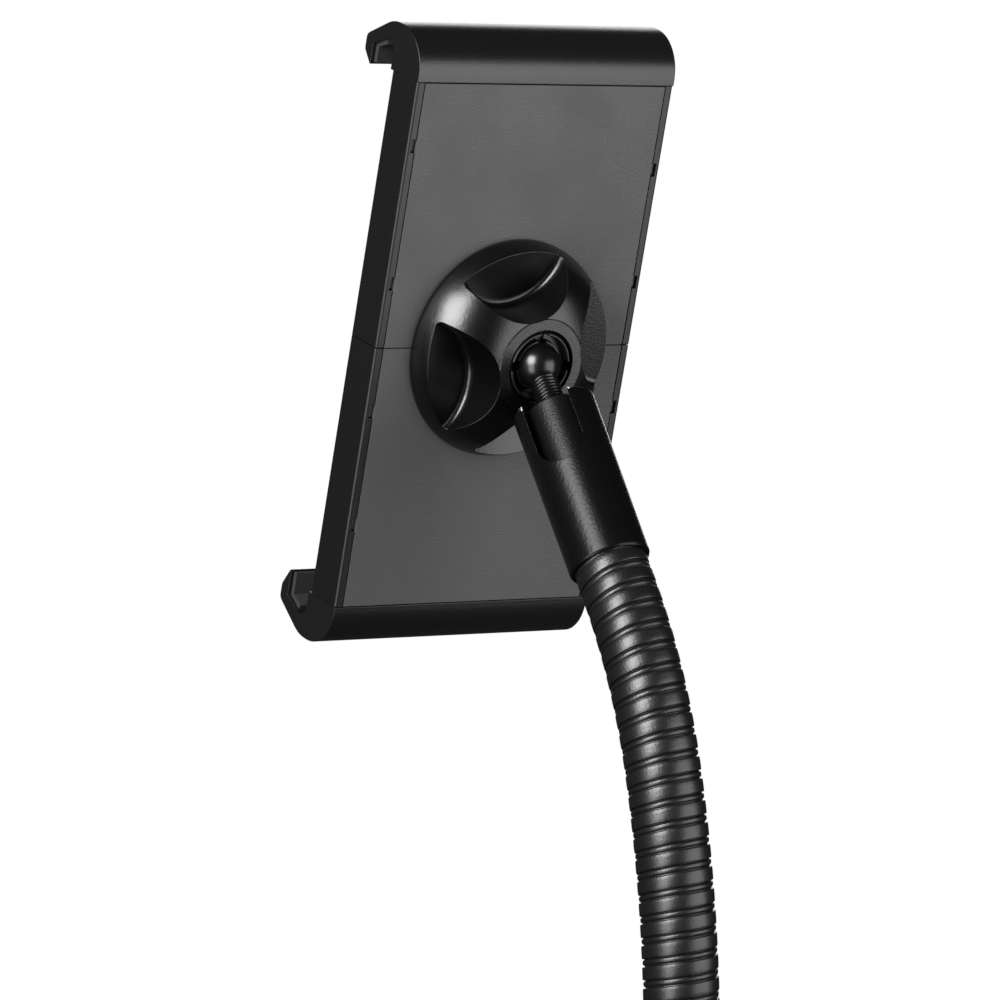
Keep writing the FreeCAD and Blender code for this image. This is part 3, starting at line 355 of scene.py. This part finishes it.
HOSE_STEPS = 72
BAND_PITCH = 7.2
BAND_PROFILE = [
    (0, 11.9),
    (0.06, 12.5),
    (0.16, 12.68),
    (0.36, 12.75),
    (1.60, 12.77),
    (3.00, 12.77),
    (4.16, 12.75),
    (4.36, 12.68),
    (4.46, 12.5),
    (4.52, 11.9),
    (4.92, 11.9),
    (5.04, 12.22),
    (5.32, 12.44),
    (5.72, 12.55),
    (6.16, 12.55),
    (6.54, 12.44),
    (6.82, 12.22),
    (6.94, 11.9),
    (BAND_PITCH, 11.9),
]
points, faces = winding(BAND_PROFILE, BAND_PITCH, HOSE_LENGTH, HOSE_STEPS, hose_point)
mesh_piece("gooseneck_windings", points, faces, "arm_metal", "arm", ["gooseneck"])


THREAD_STEPS = 40


def thread(profile, pitch, start, length, matrix):
    """A screw thread of one profile about the z axis of a place, in millimetres."""

    def point_at(distance, radius, angle):
        across = (radius * math.cos(angle), radius * math.sin(angle))
        return matrix @ Vector((*across, start + distance))

    return winding(profile, pitch, length, THREAD_STEPS, point_at)


def ball_points(rings, steps):
    """Points and faces of the ball, round by round from the stud's far side."""
    points = []
    for ring in range(rings + 1):
        polar = math.pi * ring / rings
        for step in range(steps):
            turn = math.tau * step / steps
            spot = (math.sin(polar) * math.cos(turn), math.sin(polar) * math.sin(turn))
            spot = Vector((*spot, math.cos(polar))) * BALL_RADIUS
            points.append(STUD_FRAME @ spot)
    return points, strip_faces(steps, rings + 1, closed=True)


BALL_RINGS, BALL_STEPS = 48, 96
STUD_PITCH = 1.25
STUD_THREAD = [(0, 4.35), (0.2, 4.35), (0.62, 4.87), (0.82, 4.87), (STUD_PITCH, 4.35)]
STUD_START, STUD_RUN = 5.5, 38.4
ball_shape, ball_faces = ball_points(BALL_RINGS, BALL_STEPS)
thread_shape, thread_faces = thread(STUD_THREAD, STUD_PITCH, STUD_START, STUD_RUN, STUD_FRAME)
shift = len(ball_shape)
thread_faces = [tuple(index + shift for index in face) for face in thread_faces]
mesh_piece(
    "ball_and_thread",
    ball_shape + thread_shape,
    ball_faces + thread_faces,
    "ball_metal",
    "ball",
    ["ball_stud"],
)


# The socket's thread stands in from the bore of the ferrule, whose mouth is the origin
SOCKET_PITCH = 1.5
SOCKET_THREAD = [(0, 5.02), (0.6, 4.3), (0.8, 4.3), (1.4, 5.02), (SOCKET_PITCH, 5.02)]
SOCKET_START, SOCKET_RUN = 0.8, 17
FOOT = Matrix.Identity(4)
points, faces = thread(SOCKET_THREAD, SOCKET_PITCH, SOCKET_START, SOCKET_RUN, FOOT)
mesh_piece("socket_thread", points, faces, "arm_metal", "arm")


# Coils of the two tension springs


def tube(path, radius, sides):
    """A round wire along a path, with its sides carried on from point to point."""
    points = []
    side = None
    for index, centre in enumerate(path):
        after = path[min(index + 1, len(path) - 1)]
        before = path[max(index - 1, 0)]
        along = (after - before).normalized()
        side = side or along.orthogonal()
        side = (side - along * side.dot(along)).normalized()
        other = along.cross(side)
        for step in range(sides):
            turn = math.tau * step / sides
            points.append(centre + (side * math.cos(turn) + other * math.sin(turn)) * radius)
    return points, strip_faces(sides, len(path), closed=True)


SPRING_WIRE = 0.4
WIRE_SIDES = 7
SPRING_MIDDLE = 2.2
SPRING_PITCH = 2.15 * SPRING_WIRE
COIL_STEPS = 16
EYE = 2.1
EYE_TO_COIL = 1.2
EYE_STEPS = 30
EYE_START, EYE_SWEEP = 0.02, 0.96


def spring_eye(centre, rise, hand):
    """The nearly closed loop at one end of a spring."""
    path = []
    for step in range(EYE_STEPS + 1):
        turn = math.tau * (EYE_START + EYE_SWEEP * step / EYE_STEPS)
        path.append(centre + hand * EYE * Vector((-math.sin(turn), rise * math.cos(turn), 0)))
    return path


def spring_path(across, far, near, level):
    """A spring's wire in the holder's frame: an eye, the close coil and an eye."""
    rise = 1 if near > far else -1
    first = far + rise * (EYE + EYE_TO_COIL)
    last = near - rise * (EYE + EYE_TO_COIL)
    path = spring_eye(Vector((across, far, level)), rise, 1)
    turns = round(abs(last - first) / SPRING_PITCH)
    for step in range(turns * COIL_STEPS + 1):
        turn = math.tau * step / COIL_STEPS
        along = first + (last - first) * step / (turns * COIL_STEPS)
        out = SPRING_MIDDLE * Vector((math.cos(turn), 0, math.sin(turn)))
        path.append(Vector((across, along, level)) + out)
    return path + spring_eye(Vector((across, near, level)), rise, -1)


def node_box(name, matrix):
    """Lowest and highest corner of a CAD node in another frame, in millimetres."""
    node = nodes[name]
    to_frame = matrix.inverted()
    spots = [to_frame @ (node.matrix_world @ vertex.co / MM) for vertex in node.data.vertices]
    return [Vector(pick(spot[axis] for spot in spots) for axis in range(3)) for pick in (min, max)]


for side, matrix in (("upper", HOLDER), ("lower", TURNED)):
    low, high = node_box(f"{side}_spring", matrix)
    reach = EYE + SPRING_WIRE
    across, level = (low.x + high.x) / 2, (low.z + high.z) / 2
    path = spring_path(across, low.y + reach, high.y - reach, level)
    points, faces = tube(path, SPRING_WIRE, WIRE_SIDES)
    points = [matrix @ point for point in points]
    coil = mesh_piece(f"{side}_coil", points, faces, "steel", None, [f"{side}_spring"])
    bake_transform(coil)


# Painted shade: a dark lip along the lower tray's end, which hides the light through the closed
# seam


def box_points(low, high):
    """Corners and faces of a box between two corners."""
    (x0, y0, z0), (x1, y1, z1) = low, high
    points = [Vector((x, y, z)) for x in (x0, x1) for y in (y0, y1) for z in (z0, z1)]
    faces = [(0, 1, 3, 2), (4, 6, 7, 5), (0, 4, 5, 1), (2, 3, 7, 6), (0, 2, 6, 4), (1, 5, 7, 3)]
    return points, faces


# In the holder's frame: along the plate, across it, and from its front to its rear
LIP_START, LIP_END = -0.3, 0.15
LIP_OUTSIDE, LIP_INSIDE = 52.2, 50.6
LIP_FRONT, LIP_FLOOR, LIP_REAR = -16.8, -15.4, -0.8
LIP_SPANS = [
    ((-LIP_OUTSIDE, LIP_FLOOR), (-LIP_INSIDE, LIP_REAR)),
    ((LIP_INSIDE, LIP_FLOOR), (LIP_OUTSIDE, LIP_REAR)),
    ((-LIP_OUTSIDE, LIP_FRONT), (LIP_OUTSIDE, LIP_FLOOR)),
]
lip_shape, lip_faces = [], []
for low, high in LIP_SPANS:
    points, faces = box_points((low[0], LIP_START, low[1]), (high[0], LIP_END, high[1]))
    lip_faces += [tuple(index + len(lip_shape) for index in face) for face in faces]
    lip_shape += [HOLDER @ point for point in points]
# A dark sheet put in as painted shade, so the closed seam shows as a dark line
shade_lip = mesh_piece("seam_shade_lip", lip_shape, lip_faces, "shell_plastic", "lower_jaw")
shade_lip.data.shade_flat()


# Camera at the photograph's angle


def view_axes(azimuth, elevation):
    """The camera's right, up and back directions."""
    a, e = math.radians(azimuth), math.radians(elevation)
    back = Vector((math.sin(a) * math.cos(e), -math.cos(a) * math.cos(e), math.sin(e)))
    right = Vector((math.cos(a), math.sin(a), 0))
    return right, back.cross(right), back


VIEW_AZIMUTH, VIEW_ELEVATION = -34.2, 2.74
SEAM_IN_VIEW = (1.534, 52.998, -2065.71)
IMAGE_WIDTH, FOCAL_PIXELS = 1000, 5976.66
SENSOR_WIDTH = 36
right, up, back = view_axes(VIEW_AZIMUTH, VIEW_ELEVATION)
camera = bpy.data.objects.new("camera", bpy.data.cameras.new("camera"))
bpy.context.scene.collection.objects.link(camera)
camera.data.sensor_width = SENSOR_WIDTH
camera.data.lens = FOCAL_PIXELS / IMAGE_WIDTH * SENSOR_WIDTH
camera.data.clip_end = 100
place = SEAM - sum((axis * part for axis, part in zip((right, up, back), SEAM_IN_VIEW)), Vector())
turn = Matrix((right, up, back)).transposed().to_4x4()
camera.matrix_world = Matrix.Translation(place * MM) @ turn
bpy.context.scene.camera = camera


# Studio


def lamp(name, azimuth, elevation, distance, size, glow):
    """A soft panel lamp at an angle from the camera's line of sight, in metres."""
    a, e = math.radians(azimuth), math.radians(elevation)
    toward = right * math.sin(a) * math.cos(e) + up * math.sin(e) + back * math.cos(a) * math.cos(e)
    light = bpy.data.objects.new(name, bpy.data.lights.new(name, "AREA"))
    light.data.shape = "RECTANGLE"
    light.data.size, light.data.size_y = size
    light.data.energy = glow * math.pi * size[0] * size[1]
    light.location = SEAM * MM + toward * distance
    light.rotation_euler = toward.to_track_quat("Z", "Y").to_euler()
    bpy.context.scene.collection.objects.link(light)


# Azimuth and elevation in degrees, distance and size in metres, and glow
LAMPS = {
    "key": (-34, 22, 1.6, (0.9, 1.0), 21),
    "low_key": (-34, -16, 1.7, (0.8, 1.3), 6),
    "side": (61, -8, 0.6, (0.5, 0.5), 3.6),
    "rear": (180, 18, 1.8, (1.2, 1.2), 3),
}
for name, setting in LAMPS.items():
    lamp(name, *setting)

# The floor is there from above only, so it never hides the part, and throws no glare on it
FLOOR_RADIUS, FLOOR_DROP = 0.2, 0.0005
bpy.ops.mesh.primitive_circle_add(
    vertices=96, radius=FLOOR_RADIUS, fill_type="NGON", location=(0, 0, -FLOOR_DROP)
)
floor = bpy.context.object
floor.name = "floor"
floor.data.materials.append(Surface("floor_paint", (0.6, 0.6, 0.6), 0.9).one_sided().material)
floor.visible_glossy = False
floor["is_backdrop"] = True


def studio_world(glow):
    """A dim even glow all round, and plain white behind the part for the camera's own rays."""
    world = bpy.data.worlds.new("studio")
    bpy.context.scene.world = world
    world.use_nodes = True
    shaders, links = world.node_tree.nodes, world.node_tree.links
    dim = shaders["Background"]
    white = shaders.new("ShaderNodeBackground")
    for background, strength in ((dim, glow), (white, 1)):
        background.inputs["Color"].default_value = (1, 1, 1, 1)
        background.inputs["Strength"].default_value = strength
    rays = shaders.new("ShaderNodeLightPath")
    mix = shaders.new("ShaderNodeMixShader")
    links.new(rays.outputs["Is Camera Ray"], mix.inputs[0])
    links.new(dim.outputs[0], mix.inputs[1])
    links.new(white.outputs[0], mix.inputs[2])
    links.new(mix.outputs[0], shaders["World Output"].inputs["Surface"])


studio_world(0.035)
bpy.context.scene.view_settings.view_transform = "Standard"

scene_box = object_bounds()
boxes = {"cad": cad_box, "scene": scene_box}
{key: [list(corner) for corner in box] for key, box in boxes.items()}
